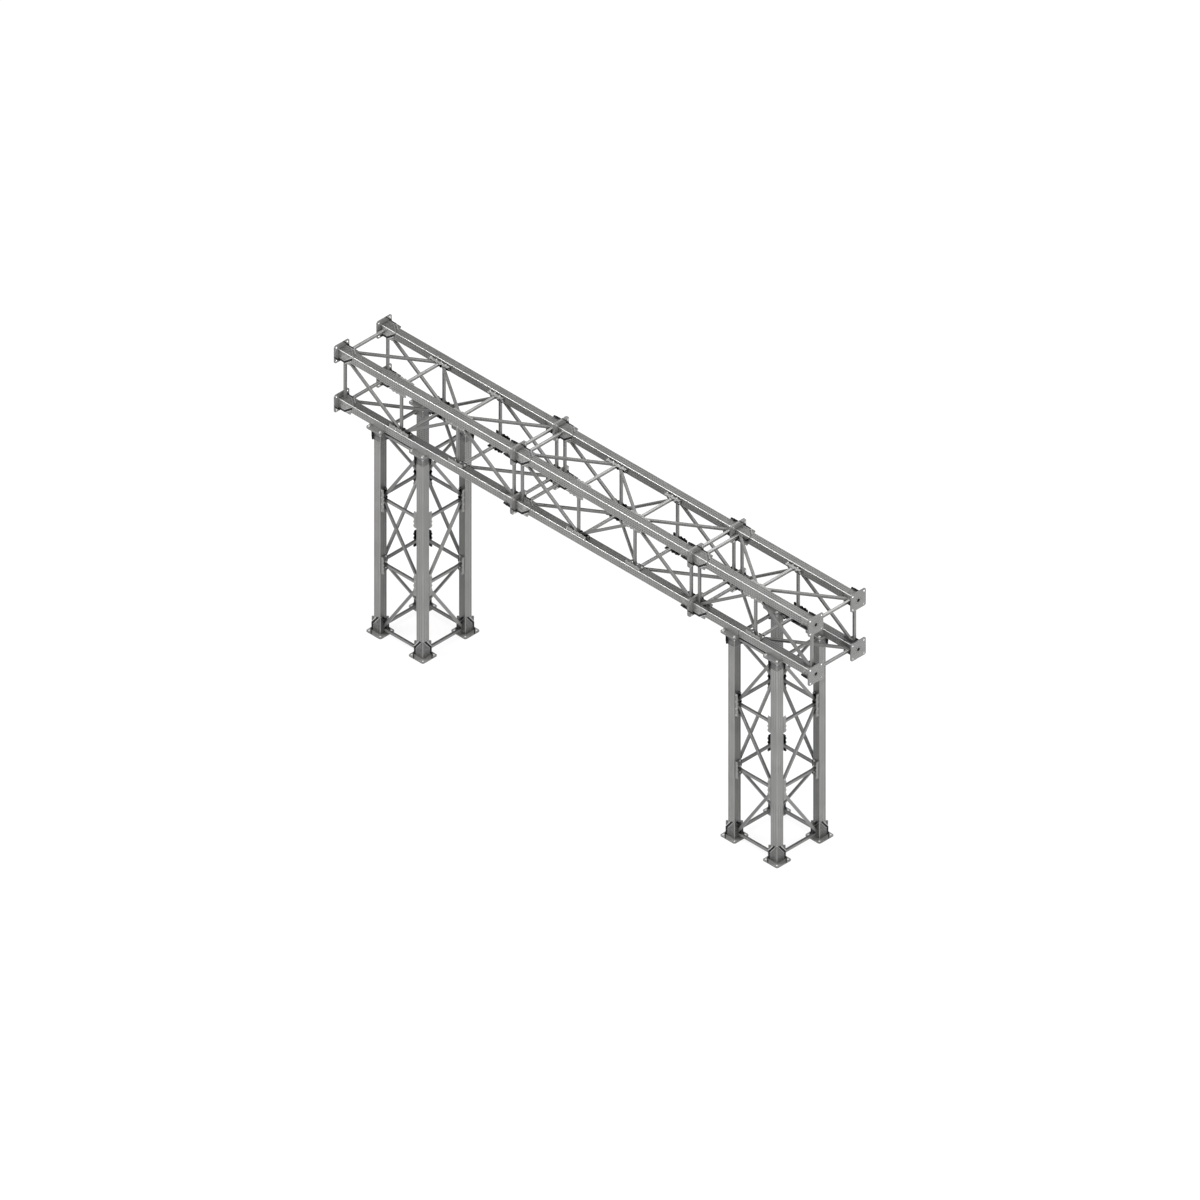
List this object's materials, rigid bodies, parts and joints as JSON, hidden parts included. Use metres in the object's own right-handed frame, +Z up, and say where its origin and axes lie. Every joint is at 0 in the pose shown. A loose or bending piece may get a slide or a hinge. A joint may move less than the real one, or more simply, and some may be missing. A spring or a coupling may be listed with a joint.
{
  "type": "pipe bridge",
  "caption": "Pipe bridge of square perforated girders: a lattice box truss with bolted end plates, carried on lattice towers, that holds pipes above a passage.",
  "frame": {"origin": "on the floor below the middle of the bridge", "axes": "+X along the bridge towards the short frame, +Y across it away from the viewer, +Z up"},
  "size_m": [6.7, 0.81, 3.2565],
  "materials": {
    "girder_steel": "galvanised, dull grey",
    "brace_steel": "galvanised, dull grey",
    "plate_steel": "galvanised, dull grey",
    "shoe_steel_outer": "galvanised, darker grey",
    "shoe_steel_inner": "galvanised, dull grey"
  },
  "bodies": {
    "root": {"frame1_chords_high": "girder_steel", "frame1_chords_low": "girder_steel", "frame1_end_plates": "plate_steel", "frame1_lattice_back": "brace_steel", "frame1_lattice_bottom": "brace_steel", "frame1_lattice_front": "brace_steel", "frame1_lattice_top": "brace_steel", "frame1_shoes_inner": "shoe_steel_inner", "frame1_shoes_outer": "shoe_steel_outer", "frame2_chords_high": "girder_steel", "frame2_chords_low": "girder_steel", "frame2_end_plates": "plate_steel", "frame2_lattice_back": "brace_steel", "frame2_lattice_bottom": "brace_steel", "frame2_lattice_front": "brace_steel", "frame2_lattice_top": "brace_steel", "frame2_shoes_inner": "shoe_steel_inner", "frame2_shoes_outer": "shoe_steel_outer", "frame3_chords_high": "girder_steel", "frame3_chords_low": "girder_steel", "frame3_end_plates": "plate_steel", "frame3_lattice_back": "brace_steel", "frame3_lattice_bottom": "brace_steel", "frame3_lattice_front": "brace_steel", "frame3_lattice_top": "brace_steel", "frame3_shoes_inner": "shoe_steel_inner", "frame3_shoes_outer": "shoe_steel_outer", "left_tower_end_plates": "plate_steel", "left_tower_lattice_back": "brace_steel", "left_tower_lattice_front": "brace_steel", "left_tower_lattice_left": "brace_steel", "left_tower_lattice_right": "brace_steel", "left_tower_legs": "girder_steel", "left_tower_saddles": "plate_steel", "left_tower_shoes_inner": "shoe_steel_inner", "left_tower_shoes_outer": "shoe_steel_outer", "right_tower_end_plates": "plate_steel", "right_tower_lattice_back": "brace_steel", "right_tower_lattice_front": "brace_steel", "right_tower_lattice_left": "brace_steel", "right_tower_lattice_right": "brace_steel", "right_tower_legs": "girder_steel", "right_tower_saddles": "plate_steel", "right_tower_shoes_inner": "shoe_steel_inner", "right_tower_shoes_outer": "shoe_steel_outer"}
  },
  "joints": []
}
